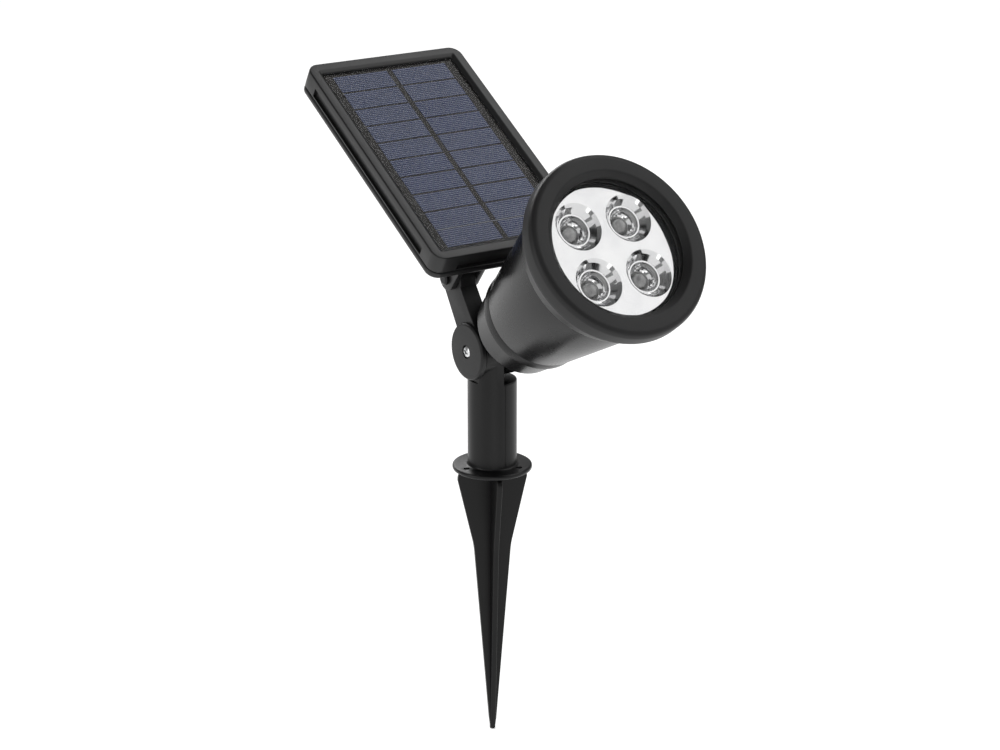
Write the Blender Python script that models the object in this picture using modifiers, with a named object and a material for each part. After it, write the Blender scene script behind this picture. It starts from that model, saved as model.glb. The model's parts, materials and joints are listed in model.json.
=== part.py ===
"""Solar garden spotlight: four-LED lamp head and tilting solar panel on a post with a ground spike.

World frame: +Z up the post, origin at the centre of the post flange's underside, the lamp
shines towards -Y, and every tilt axis runs along X.
"""

import math

import bmesh
import bpy
from mathutils import Matrix, Vector

MM = 0.001
GAP = 0.3 * MM
# A length that runs a cutter well past any wall of the part it cuts.
FAR = 20.0 * MM

# Driving dimensions of the post and the spike.
POST_RADIUS = 12.0 * MM
POST_TOP = 46.2 * MM
SOCKET_RADIUS = 9.5 * MM
SOCKET_TOP = 30.0 * MM
FLANGE_RADIUS = 19.5 * MM
FLANGE_THICKNESS = 2.3 * MM
FLANGE_HOLE_RADIUS = 1.6 * MM
FLANGE_HOLE_CIRCLE = 14.8 * MM
FLANGE_HOLE_ANGLES = (60.0, 180.0, 300.0)
SPIKE_LENGTH = 140.0 * MM
SPIKE_KINK = 40.3 * MM
SPIKE_TOP_HALF = 17.3 * MM
SPIKE_KINK_HALF = 9.3 * MM
SPIKE_TIP_HALF = 1.8 * MM
SPIKE_BLADE = 2.6 * MM
SPIKE_TURN = -20.0
PLUG_LOW = -3.0 * MM
PLUG_HIGH = 29.0 * MM

# The shared pivot of the lamp and the panel arm.
PIVOT_Z = 61.8 * MM
BARREL_RADIUS = 12.5 * MM
BARREL_LEFT = -10.9 * MM
BARREL_RIGHT = -0.9 * MM
PIVOT_SCREW_RADIUS = 2.0 * MM
PIVOT_BORE_RADIUS = 2.3 * MM
WASHER_THICKNESS = 0.5 * MM
WASHER_RADIUS = 8.5 * MM
PIVOT_NUT_RADIUS = 4.0 * MM
NUT_POCKET_RADIUS = 4.35 * MM
SCREW_HEAD_RADIUS = 2.9 * MM
SCREW_SEAT_RADIUS = 3.3 * MM
SCREW_SEAT_DEPTH = 1.5 * MM

# Panel arm.
DISC_RADIUS = 14.0 * MM
DISC_LEFT = -14.9 * MM
DISC_RIGHT = -12.0 * MM
BAR_LEFT = -12.9 * MM
BAR_RIGHT = -3.7 * MM
EYE_RADIUS = 7.5 * MM
PANEL_HINGE_Y = 15.8 * MM
PANEL_HINGE_Z = 95.0 * MM
HINGE_SCREW_RADIUS = 1.75 * MM
HINGE_BORE_RADIUS = 2.05 * MM

# Lamp head, measured along its own axis from the pivot.
LAMP_X = 5.8 * MM
LAMP_ELEVATION = 37.0
LAMP_FRONT = 122.2 * MM
BEZEL_RADIUS = 45.0 * MM
BEZEL_REAR = 100.9 * MM
HOUSING_FRONT_RADIUS = 38.3 * MM
HOUSING_REAR_RADIUS = 27.0 * MM
HOUSING_REAR = 41.3 * MM
CAP_REAR = 16.2 * MM
CAP_WALL = 2.4 * MM
EAR_HALF = 5.5 * MM
EAR_RADIUS = 14.0 * MM
LENS_RADIUS = 36.0 * MM
PLATE_RADIUS = 32.3 * MM
PLATE_FRONT = 115.2 * MM
CUP_OFFSET = 13.7 * MM
CUP_RADIUS = 11.8 * MM
BOARD_BACK = 102.1 * MM
BOARD_FRONT = 103.7 * MM
BOARD_SCREW_CIRCLE = 31.2 * MM
BOARD_SCREW_ANGLES = (90.0, 210.0, 330.0)
BUTTON_PLACE = (13.0 * MM, 5.0 * MM)
BUTTON_RADIUS = 4.0 * MM
LAMP_GLAND_PLACE = (12.5 * MM, -9.0 * MM)
BATTERY_X = -10.5 * MM
BATTERY_RADIUS = 9.1 * MM
BATTERY_BACK = 31.0 * MM
BATTERY_LENGTH = 65.0 * MM
HOLDER_RIGHT = 0.5 * MM
DRIVER_BOARD_X = 3.0 * MM
DRIVER_SCREW_HEIGHTS = (45.0 * MM, 80.0 * MM)

# Solar panel, in a frame on its hinge axis: Y runs up the panel and Z out of its face.
PANEL_SLOPE = 30.0
PANEL_WIDTH = 88.0 * MM
PANEL_LENGTH = 141.0 * MM
PANEL_X = LAMP_X
PANEL_LOW_EDGE = -14.5 * MM
PANEL_BACK = 16.8 * MM
PANEL_SEAM = 20.3 * MM
PANEL_FACE = 30.3 * MM
PANEL_CORNER = 6.0 * MM
PANEL_WALL = 3.4 * MM
RIM_WIDTH = 4.8 * MM
LAMINATE_INSET = 6.7 * MM
LAMINATE_TOP = 29.0 * MM
POCKET_FLOOR = 27.0 * MM
DECK_BOTTOM = 25.6 * MM
GROOVE_LOW = 21.6 * MM
GROOVE_HIGH = 26.4 * MM
GROOVE_DEPTH = 1.5 * MM
GROOVE_END = 13.0 * MM
CASE_SCREW_INSET = 9.5 * MM
WIRE_HOLE_RADIUS = 2.5 * MM
WIRE_HOLE_Y = 30.0 * MM
GLAND_HOLE_RADIUS = 2.4 * MM
EAR_PLATE = 2.9 * MM
PANEL_GLAND_PLACE = (26.0 * MM, 8.0 * MM)

ROUND = 40
FINE = 16


def clear_scene():
    """Removes every object that is in the scene already."""
    for item in list(bpy.data.objects):
        bpy.data.objects.remove(item, do_unlink=True)


def new_collection(name):
    """A collection linked to the scene."""
    collection = bpy.data.collections.new(name)
    bpy.context.scene.collection.children.link(collection)
    return collection


def look(name, colour, roughness, metallic=0.0, transmission=0.0):
    """A Principled BSDF material."""
    material = bpy.data.materials.new(name)
    material.use_nodes = True
    shader = material.node_tree.nodes["Principled BSDF"]
    shader.inputs["Base Color"].default_value = (*colour, 1.0)
    shader.inputs["Roughness"].default_value = roughness
    shader.inputs["Metallic"].default_value = metallic
    shader.inputs["Transmission Weight"].default_value = transmission
    return material


def place(item, name, parent, material):
    """Names a part, puts it in the product's collection and hangs it on its body's empty."""
    item.name = name
    item.data.name = name
    for collection in list(item.users_collection):
        collection.objects.unlink(item)
    PRODUCT.objects.link(item)
    item.parent = parent
    item.data.materials.append(material)
    return item


def tool(item, parent):
    """Marks a solid as a helper that only cuts or joins."""
    for collection in list(item.users_collection):
        collection.objects.unlink(item)
    CUTTERS.objects.link(item)
    item.parent = parent
    item.hide_render = True
    item.display_type = "WIRE"
    return item


def cut(item, cutter):
    """Takes the cutter's shape out of a part."""
    change = item.modifiers.new("cut", "BOOLEAN")
    change.operation = "DIFFERENCE"
    change.solver = "EXACT"
    change.object = cutter


def join(item, piece):
    """Adds a helper's shape to a part."""
    change = item.modifiers.new("join", "BOOLEAN")
    change.operation = "UNION"
    change.solver = "EXACT"
    change.object = piece


def smooth(item):
    """Shades the round faces smooth and keeps the sharp edges."""
    item.data.shade_smooth()
    item.data.set_sharp_from_angle(angle=math.radians(35))


def turned(profile, segments=ROUND, at=(0.0, 0.0)):
    """Turns (radius, height) points about Z; a profile that starts off the axis is a closed ring."""
    mesh = bpy.data.meshes.new("turned")
    points = [(radius, 0.0, height) for radius, height in profile]
    edges = [(index, index + 1) for index in range(len(points) - 1)]
    if profile[0][0] > 0.0:
        edges.append((len(points) - 1, 0))
    mesh.from_pydata(points, edges, [])
    item = bpy.data.objects.new("turned", mesh)
    bpy.context.scene.collection.objects.link(item)
    item.location = (at[0], at[1], 0.0)
    turn = item.modifiers.new("turn", "SCREW")
    turn.steps = segments
    turn.render_steps = segments
    turn.use_merge_vertices = True
    turn.merge_threshold = 0.00001
    turn.use_smooth_shade = True
    return item


def disc(radius, low, high, segments=ROUND, at=(0.0, 0.0)):
    """An upright cylinder between two heights."""
    return turned([(0.0, high), (radius, high), (radius, low), (0.0, low)], segments, at)


def ring(inner, outer, low, high, segments=ROUND, at=(0.0, 0.0)):
    """A flat-sided ring between two heights."""
    return turned([(outer, high), (outer, low), (inner, low), (inner, high)], segments, at)


def along_x(item, y=0.0, z=0.0):
    """Lays an upright turned piece down, so that its heights run along +X."""
    item.rotation_euler = (0.0, math.radians(90), 0.0)
    item.location = (0.0, y, z)
    return item


def box(low, high):
    """A box between two opposite corners."""
    bpy.ops.mesh.primitive_cube_add(size=1.0)
    item = bpy.context.object
    centre = (Vector(low) + Vector(high)) / 2
    size = Vector(high) - Vector(low)
    item.data.transform(Matrix.Diagonal((*size, 1.0)))
    item.location = centre
    return item


def arc(centre, radius, start, end, steps):
    """Points of an arc, angles in degrees."""
    points = []
    for step in range(steps + 1):
        angle = math.radians(start + (end - start) * step / steps)
        points.append((centre[0] + radius * math.cos(angle), centre[1] + radius * math.sin(angle)))
    return points


def slab(points, low, high):
    """A flat outline in XY, extruded between two heights, as a mesh."""
    curve = bpy.data.curves.new("outline", "CURVE")
    curve.dimensions = "2D"
    curve.fill_mode = "BOTH"
    curve.extrude = (high - low) / 2
    spline = curve.splines.new("POLY")
    spline.points.add(len(points) - 1)
    for point, (x, y) in zip(spline.points, points):
        point.co = (x, y, 0.0, 1.0)
    spline.use_cyclic_u = True
    drawing = bpy.data.objects.new("outline", curve)
    bpy.context.scene.collection.objects.link(drawing)
    graph = bpy.context.evaluated_depsgraph_get()
    mesh = bpy.data.meshes.new_from_object(drawing.evaluated_get(graph))
    bpy.data.objects.remove(drawing, do_unlink=True)
    weld = bmesh.new()
    weld.from_mesh(mesh)
    bmesh.ops.remove_doubles(weld, verts=weld.verts, dist=0.000001)
    bmesh.ops.recalc_face_normals(weld, faces=weld.faces)
    bmesh.ops.translate(weld, verts=weld.verts, vec=(0.0, 0.0, (low + high) / 2))
    weld.to_mesh(mesh)
    weld.free()
    item = bpy.data.objects.new("slab", mesh)
    bpy.context.scene.collection.objects.link(item)
    return item


def side_slab(points, low, high):
    """A flat outline given as (y, z), extruded between two X values."""
    item = slab(points, low, high)
    item.rotation_euler = (math.radians(90), 0.0, math.radians(90))
    return item


def rounded_rectangle(inset, corner):
    """The panel's outline, drawn in by an inset, with round corners."""
    half = PANEL_WIDTH / 2 - inset
    low = PANEL_LOW_EDGE + inset
    high = PANEL_LOW_EDGE + PANEL_LENGTH - inset
    points = []
    corners = (
        (PANEL_X + half - corner, high - corner, 0.0),
        (PANEL_X - half + corner, high - corner, 90.0),
        (PANEL_X - half + corner, low + corner, 180.0),
        (PANEL_X + half - corner, low + corner, 270.0),
    )
    for x, y, start in corners:
        points += arc((x, y), corner, start, start + 90.0, 4)
    return points


def empty(name, location, tilt, parent=None):
    """An empty on a joint's axis, tilted about X."""
    item = bpy.data.objects.new(name, None)
    PRODUCT.objects.link(item)
    item.location = location
    item.rotation_euler = (math.radians(tilt), 0.0, 0.0)
    item.parent = parent
    return item


def machine_screw(shank, head, length, head_height, segments=FINE):
    """A pan-head screw: the head's seat is at height 0 and the shank points up +Z."""
    return turned([
        (0.0, length),
        (shank, length),
        (shank, 0.0),
        (head, 0.0),
        (head, -0.6 * head_height),
        (0.7 * head, -head_height),
        (0.0, -head_height),
    ], segments)


def hex_nut(radius, bore, low, high, parent):
    """A hexagonal nut lying along X between two X values."""
    nut = along_x(disc(radius, low, high, segments=6))
    hole = tool(along_x(disc(bore, low - 2 * GAP, high + 2 * GAP, FINE)), parent)
    cut(nut, hole)
    return nut


def build_spike(body):
    """Four fins in a cross under a round plug that fits the post's socket."""
    top = -0.5 * MM
    round_top = 4.0 * MM
    half_outline = arc((SPIKE_TOP_HALF - round_top, top - round_top), round_top, 90.0, 0.0, 4)
    half_outline += [
        (SPIKE_KINK_HALF, -SPIKE_KINK),
        (SPIKE_TIP_HALF, 6.0 * MM - SPIKE_LENGTH),
        (0.0, -SPIKE_LENGTH),
    ]
    mirrored = [(-y, z) for y, z in reversed(half_outline[:-1])]
    outline = half_outline + mirrored
    blade = side_slab(outline, -SPIKE_BLADE / 2, SPIKE_BLADE / 2)
    place(blade, "ground_spike", body, BLACK_SPIKE)
    blade.rotation_euler[2] += math.radians(SPIKE_TURN)
    crossing = tool(side_slab(outline, -SPIKE_BLADE / 2, SPIKE_BLADE / 2), body)
    crossing.rotation_euler[2] += math.radians(SPIKE_TURN + 90.0)
    join(blade, crossing)
    plug = tool(disc(SOCKET_RADIUS - GAP, PLUG_LOW, PLUG_HIGH, 32), body)
    join(blade, plug)


def build_post(body):
    """Flange, tube and half knuckle in one moulding."""
    edge = 1.2 * MM
    profile = [
        (0.0, POST_TOP),
        (POST_RADIUS - edge, POST_TOP),
        (POST_RADIUS, POST_TOP - edge),
        (POST_RADIUS, FLANGE_THICKNESS + 1.0 * MM),
        (POST_RADIUS + 1.0 * MM, FLANGE_THICKNESS),
        (FLANGE_RADIUS, FLANGE_THICKNESS),
        (FLANGE_RADIUS, 0.0),
        (SOCKET_RADIUS, 0.0),
        (SOCKET_RADIUS, SOCKET_TOP),
        (0.0, SOCKET_TOP),
    ]
    post = place(turned(profile, 40), "post_tube", body, BLACK_POST)
    neck = tool(disc(POST_RADIUS, POST_TOP - 6.0 * MM, PIVOT_Z, 40), body)
    open_side = tool(box((BARREL_RIGHT, -FAR, POST_TOP), (FAR, FAR, PIVOT_Z + FAR)), body)
    barrel = tool(along_x(disc(BARREL_RADIUS, BARREL_LEFT, BARREL_RIGHT, 40), z=PIVOT_Z), body)
    beyond = tool(box((-FAR, -FAR, POST_TOP), (BARREL_LEFT, FAR, PIVOT_Z + FAR)), body)
    bore = tool(along_x(disc(PIVOT_BORE_RADIUS, -FAR, FAR, FINE), z=PIVOT_Z), body)
    join(post, neck)
    cut(post, open_side)
    cut(post, beyond)
    join(post, barrel)
    cut(post, bore)
    for angle in FLANGE_HOLE_ANGLES:
        x, y = on_circle(FLANGE_HOLE_CIRCLE, angle)
        cut(post, tool(disc(FLANGE_HOLE_RADIUS, -MM, FLANGE_THICKNESS + MM, 16, (x, y)), body))


def build_pivot(body, lamp):
    """The one screw that clamps arm, post and lamp, with its washers and nut."""
    seat = DISC_LEFT + SCREW_SEAT_DEPTH
    screw = machine_screw(PIVOT_SCREW_RADIUS, SCREW_HEAD_RADIUS, 25.4 * MM, 1.9 * MM)
    place(along_x(screw, z=PIVOT_Z), "pivot_screw", body, STEEL).location[0] = seat
    for name, start in (("arm_washer", DISC_RIGHT + GAP), ("lamp_washer", BARREL_RIGHT + GAP)):
        washer = ring(PIVOT_BORE_RADIUS + 0.1 * MM, WASHER_RADIUS, start, start + WASHER_THICKNESS, 32)
        place(along_x(washer, z=PIVOT_Z), name, body, RUBBER)
    nut = hex_nut(PIVOT_NUT_RADIUS, PIVOT_BORE_RADIUS, EAR_HALF - 3.1 * MM, EAR_HALF - 0.1 * MM, lamp)
    place(nut, "pivot_nut", lamp, STEEL)


def build_arm(body):
    """Disc, leaning bar and the eye that carries the panel."""
    eye = (PANEL_HINGE_Y, PANEL_HINGE_Z - PIVOT_Z)
    outline = [(4.1 * MM, -2.9 * MM), (23.2 * MM, 27.0 * MM)]
    outline += arc(eye, EYE_RADIUS, 0.0, 180.0, 10)
    outline += [(8.1 * MM, 29.9 * MM), (-9.3 * MM, 6.5 * MM)]
    arm = place(side_slab(outline, BAR_LEFT, BAR_RIGHT), "panel_arm", body, BLACK_ARM)
    around_barrel = tool(along_x(disc(BARREL_RADIUS + 2 * GAP, DISC_RIGHT - GAP, 0.0, 40)), body)
    rim = 0.7 * MM
    plate = tool(along_x(turned([
        (0.0, DISC_RIGHT),
        (DISC_RADIUS, DISC_RIGHT),
        (DISC_RADIUS, DISC_LEFT + rim),
        (DISC_RADIUS - rim, DISC_LEFT),
        (0.0, DISC_LEFT),
    ], 40)), body)
    cut(arm, around_barrel)
    join(arm, plate)
    cut(arm, tool(along_x(disc(PIVOT_BORE_RADIUS, -FAR, 0.0, FINE)), body))
    seat = DISC_LEFT + SCREW_SEAT_DEPTH + GAP
    cut(arm, tool(along_x(disc(SCREW_SEAT_RADIUS, -FAR, seat, FINE)), body))
    cut(arm, tool(along_x(disc(HINGE_BORE_RADIUS, -FAR, 0.0, FINE), *eye), body))


def build_housing(body):
    """Tapered housing, with the spigot that the bezel screws on and a ledge for the LED board."""
    spigot = LENS_RADIUS
    profile = [
        (spigot, 114.5 * MM),
        (spigot, BEZEL_REAR - GAP),
        (HOUSING_FRONT_RADIUS, BEZEL_REAR - GAP),
        (HOUSING_REAR_RADIUS, HOUSING_REAR),
        (24.6 * MM, HOUSING_REAR),
        (24.6 * MM, 46.9 * MM),
        (26.0 * MM, 46.9 * MM),
        (35.0 * MM, 94.0 * MM),
        (28.6 * MM, 97.8 * MM),
        (28.6 * MM, BOARD_BACK - GAP),
        (33.4 * MM, BOARD_BACK - GAP),
        (33.4 * MM, 114.5 * MM),
    ]
    housing = place(turned(profile), "lamp_housing", body, BLACK_LAMP)
    for angle in BOARD_SCREW_ANGLES:
        x, y = on_circle(BOARD_SCREW_CIRCLE, angle)
        cut(housing, tool(disc(1.5 * MM, 98.9 * MM, 103.0 * MM, 12, (x, y)), body))


def on_circle(radius, angle):
    """The point at an angle in degrees on a circle about the axis."""
    return radius * math.cos(math.radians(angle)), radius * math.sin(math.radians(angle))


def build_bezel(body):
    """Screw-on bezel with a bevelled mouth and a flared, grooved side."""
    profile = [
        (LENS_RADIUS + 0.4 * MM, LAMP_FRONT),
        (BEZEL_RADIUS - 2.8 * MM, LAMP_FRONT),
        (BEZEL_RADIUS - 0.8 * MM, LAMP_FRONT - 0.9 * MM),
        (BEZEL_RADIUS, LAMP_FRONT - 2.8 * MM),
        (BEZEL_RADIUS, 113.4 * MM),
        (BEZEL_RADIUS - 0.7 * MM, 112.9 * MM),
        (BEZEL_RADIUS - 0.7 * MM, 111.9 * MM),
        (39.3 * MM, BEZEL_REAR + 0.8 * MM),
        (38.8 * MM, BEZEL_REAR),
        (LENS_RADIUS + GAP, BEZEL_REAR),
        (LENS_RADIUS + GAP, 119.0 * MM),
        (33.4 * MM, 119.0 * MM),
        (33.4 * MM, 119.6 * MM),
    ]
    place(turned(profile), "bezel_ring", body, BLACK_BEZEL)
    place(disc(LENS_RADIUS, 116.1 * MM, 118.7 * MM), "front_lens", body, CLEAR)
    place(ring(33.6 * MM, LENS_RADIUS, 114.8 * MM, 115.8 * MM), "lens_seal", body, RUBBER)


def build_reflector(body):
    """Bright plate with four stepped cups, standing on the LED board."""
    mouth = PLATE_FRONT + 0.1 * MM
    floor = BOARD_FRONT + GAP
    step_depth = PLATE_FRONT - 4.4 * MM
    plate = disc(PLATE_RADIUS, PLATE_FRONT - 1.4 * MM, PLATE_FRONT)
    place(plate, "reflector", body, MIRROR)
    centres = cup_centres()
    for centre in centres:
        join(plate, tool(turned([
            (0.0, PLATE_FRONT - 0.7 * MM),
            (CUP_RADIUS + 0.9 * MM, PLATE_FRONT - 0.7 * MM),
            (8.6 * MM, step_depth - 0.8 * MM),
            (6.0 * MM, floor),
            (0.0, floor),
        ], 24, centre), body))
    for centre in centres:
        cut(plate, tool(turned([
            (0.0, mouth),
            (CUP_RADIUS, mouth),
            (7.7 * MM, step_depth),
            (7.1 * MM, step_depth),
            (4.8 * MM, floor - GAP),
            (0.0, floor - GAP),
        ], 24, centre), body))


def cup_centres():
    """The four cup centres, row by row from the upper left."""
    return [(x * CUP_OFFSET, y * CUP_OFFSET) for y in (1, -1) for x in (-1, 1)]


def build_leds(body):
    """LED board with four domed LEDs and its three screws."""
    board = place(disc(32.6 * MM, BOARD_BACK, BOARD_FRONT), "led_board", body, WHITE_BOARD)
    dome_centre = BOARD_FRONT + 3.0 * MM
    dome_radius = 4.1 * MM
    for number, centre in enumerate(cup_centres(), start=1):
        dome = arc((0.0, dome_centre), dome_radius, 90.0, 0.0, 5)
        dome[0] = (0.0, dome_centre + dome_radius)
        profile = dome + [(dome_radius, BOARD_FRONT + GAP), (0.0, BOARD_FRONT + GAP)]
        place(turned(profile, 16, centre), f"led_{number}", body, LED_DOME)
    for number, angle in enumerate(BOARD_SCREW_ANGLES, start=1):
        x, y = on_circle(BOARD_SCREW_CIRCLE, angle)
        cut(board, tool(disc(1.5 * MM, 101.0 * MM, 105.0 * MM, 12, (x, y)), body))
        screw = machine_screw(1.2 * MM, 1.9 * MM, 4.4 * MM, 1.4 * MM, 12)
        place(screw, f"board_screw_{number}", body, STEEL)
        screw.rotation_euler = (math.radians(180), 0.0, 0.0)
        screw.location = (x, y, BOARD_FRONT + GAP)


def build_cap(body):
    """Stepped rear cap with the ear that sits on the pivot."""
    profile = [
        (0.0, CAP_REAR + CAP_WALL),
        (19.0 * MM, CAP_REAR + CAP_WALL),
        (20.6 * MM, 21.0 * MM),
        (22.0 * MM, 34.0 * MM),
        (22.0 * MM, 46.4 * MM),
        (24.3 * MM, 46.4 * MM),
        (24.3 * MM, 45.0 * MM),
        (23.0 * MM, 45.0 * MM),
        (23.0 * MM, 42.6 * MM),
        (24.3 * MM, 42.6 * MM),
        (24.3 * MM, HOUSING_REAR - GAP),
        (26.7 * MM, HOUSING_REAR - GAP),
        (26.4 * MM, 35.0 * MM),
        (25.4 * MM, 34.4 * MM),
        (22.6 * MM, 19.6 * MM),
        (21.2 * MM, 17.2 * MM),
        (19.2 * MM, CAP_REAR),
        (0.0, CAP_REAR),
    ]
    cap = place(turned(profile), "rear_cap", body, BLACK_LAMP)
    inside = CAP_REAR + 1.2 * MM
    outline = [(EAR_RADIUS, inside), (-EAR_RADIUS, inside)]
    outline += arc((0.0, 0.0), EAR_RADIUS, 180.0, 360.0, 16)
    join(cap, tool(side_slab(outline, -EAR_HALF, EAR_HALF), body))
    cut(cap, tool(along_x(disc(PIVOT_BORE_RADIUS, -FAR, FAR, FINE)), body))
    cut(cap, tool(along_x(disc(NUT_POCKET_RADIUS, EAR_HALF - 3.4 * MM, FAR, 6)), body))
    cut(cap, tool(disc(BUTTON_RADIUS + GAP, 10.0 * MM, 22.0 * MM, FINE, BUTTON_PLACE), body))
    cut(cap, tool(disc(GLAND_HOLE_RADIUS, 10.0 * MM, 22.0 * MM, 16, LAMP_GLAND_PLACE), body))
    seal = ring(23.2 * MM, 24.4 * MM, 42.9 * MM, 44.7 * MM)
    place(seal, "cap_seal", body, RUBBER)
    place(gland(CAP_REAR, CAP_WALL, LAMP_GLAND_PLACE), "lamp_gland", body, RUBBER)


def gland(face, wall, at):
    """A rubber cable gland through a wall whose outer face looks down -Z."""
    inside = face + wall + GAP
    return turned([
        (3.3 * MM, inside + 1.2 * MM),
        (3.3 * MM, inside),
        (2.1 * MM, inside),
        (2.1 * MM, face - GAP),
        (3.4 * MM, face - GAP),
        (3.1 * MM, face - 2.0 * MM),
        (2.0 * MM, face - 5.0 * MM),
        (1.2 * MM, face - 5.0 * MM),
        (1.2 * MM, inside + 1.2 * MM),
    ], 16, at)


def build_lamp_inside(body):
    """Battery in its holder, driver board and the power switch."""
    battery_top = BATTERY_BACK + BATTERY_LENGTH
    battery = turned([
        (0.0, battery_top),
        (3.0 * MM, battery_top),
        (3.0 * MM, battery_top - 1.2 * MM),
        (BATTERY_RADIUS, battery_top - 1.2 * MM),
        (BATTERY_RADIUS, BATTERY_BACK),
        (0.0, BATTERY_BACK),
    ], 24, (BATTERY_X, 0.0))
    place(battery, "battery", body, BATTERY_WRAP)
    plate_left = HOLDER_RIGHT - 1.6 * MM
    back = BATTERY_BACK - 2.2 * MM
    front = battery_top + 2.0 * MM
    holder = box((plate_left, -9.0 * MM, back), (HOLDER_RIGHT, 9.0 * MM, front))
    place(holder, "battery_holder", body, HOLDER)
    for low in (back, front - 1.6 * MM):
        wall = box((-14.0 * MM, -8.0 * MM, low), (HOLDER_RIGHT - 0.4 * MM, 8.0 * MM, low + 1.6 * MM))
        join(holder, tool(wall, body))
    face = DRIVER_BOARD_X + 0.8 * MM
    board = box((face - 1.6 * MM, -15.0 * MM, 36.0 * MM), (face, 15.0 * MM, 88.0 * MM))
    place(board, "driver_board", body, GREEN_BOARD)
    for number, height in enumerate(DRIVER_SCREW_HEIGHTS, start=1):
        for item in (holder, board):
            cut(item, tool(along_x(disc(1.3 * MM, -2.0 * MM, 6.0 * MM, 12), z=height), body))
        screw = machine_screw(1.0 * MM, 1.9 * MM, 4.6 * MM, 1.2 * MM, 12)
        place(screw, f"driver_screw_{number}", body, STEEL)
        screw.rotation_euler = (0.0, math.radians(-90), 0.0)
        screw.location = (face + GAP, 0.0, height)
    coil = along_x(disc(4.2 * MM, 0.0, 5.0 * MM, FINE), -8.0 * MM, 62.0 * MM)
    coil.location[0] = face + GAP
    place(coil, "driver_coil", body, COIL)
    chip_left = face + GAP
    chip = box((chip_left, 4.0 * MM, 55.0 * MM), (chip_left + 1.6 * MM, 9.0 * MM, 61.0 * MM))
    place(chip, "driver_chip", body, RUBBER)
    x, y = BUTTON_PLACE
    half = 4.0 * MM
    switch = box((x - half, y - half, 21.8 * MM), (x + half, y + half, 27.0 * MM))
    place(switch, "power_switch", body, HOLDER)


def build_button(body):
    """Sprung push button with a retaining flange inside the cap."""
    inside = CAP_REAR + CAP_WALL + GAP
    button = turned([
        (0.0, inside + 1.2 * MM),
        (5.2 * MM, inside + 1.2 * MM),
        (5.2 * MM, inside),
        (BUTTON_RADIUS, inside),
        (BUTTON_RADIUS, 15.2 * MM),
        (BUTTON_RADIUS - 0.7 * MM, 14.6 * MM),
        (0.0, 14.6 * MM),
    ], FINE)
    place(button, "switch_button", body, RUBBER)


def build_panel_back(body):
    """Rear tray of the panel with the clevis ears and their gussets."""
    back = slab(rounded_rectangle(0.0, PANEL_CORNER), PANEL_BACK, PANEL_SEAM)
    place(back, "panel_back", body, BLACK_PANEL)
    inner = rounded_rectangle(PANEL_WALL, PANEL_CORNER - PANEL_WALL)
    cut(back, tool(slab(inner, PANEL_BACK + 2.0 * MM, PANEL_SEAM + 1.0 * MM), body))
    root = PANEL_BACK + 1.0 * MM
    ear = [(9.5 * MM, root), (-8.5 * MM, root)]
    ear += arc((0.0, 0.0), 6.0 * MM, 180.0, 360.0, 10)
    left_ear = BAR_LEFT - GAP - EAR_PLATE
    right_ear = BAR_RIGHT + GAP
    for start in (left_ear, right_ear):
        join(back, tool(side_slab(ear, start, start + EAR_PLATE), body))
        cut(back, tool(along_x(disc(HINGE_BORE_RADIUS, start - GAP, start + EAR_PLATE + GAP, 16)), body))
    outer_gussets = ((left_ear + 1.0 * MM, -3.6 * MM), (right_ear + EAR_PLATE - 1.0 * MM, 13.5 * MM))
    for start, reach in outer_gussets:
        web = slab([(start, 7.0 * MM), (start, root), (start + reach, root)], -1.3 * MM, 1.3 * MM)
        web.rotation_euler = (math.radians(90), 0.0, 0.0)
        join(back, tool(web, body))
    for x, y in case_screw_places():
        join(back, tool(disc(4.6 * MM, root, PANEL_SEAM, 16, (x, y)), body))
        cut(back, tool(disc(3.1 * MM, PANEL_BACK - GAP, PANEL_BACK + 1.6 * MM, 16, (x, y)), body))
        cut(back, tool(disc(1.5 * MM, PANEL_BACK, PANEL_SEAM + GAP, 12, (x, y)), body))
    cut(back, tool(disc(GLAND_HOLE_RADIUS, 15.0 * MM, 20.0 * MM, 16, PANEL_GLAND_PLACE), body))
    place(gland(PANEL_BACK, 2.0 * MM, PANEL_GLAND_PLACE), "panel_gland", body, RUBBER)


def case_screw_places():
    """The four case screws, one in each corner of the panel."""
    half = PANEL_WIDTH / 2 - CASE_SCREW_INSET
    low = PANEL_LOW_EDGE + CASE_SCREW_INSET
    high = PANEL_LOW_EDGE + PANEL_LENGTH - CASE_SCREW_INSET
    return [(PANEL_X + x * half, y) for y in (high, low) for x in (-1, 1)]


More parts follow.
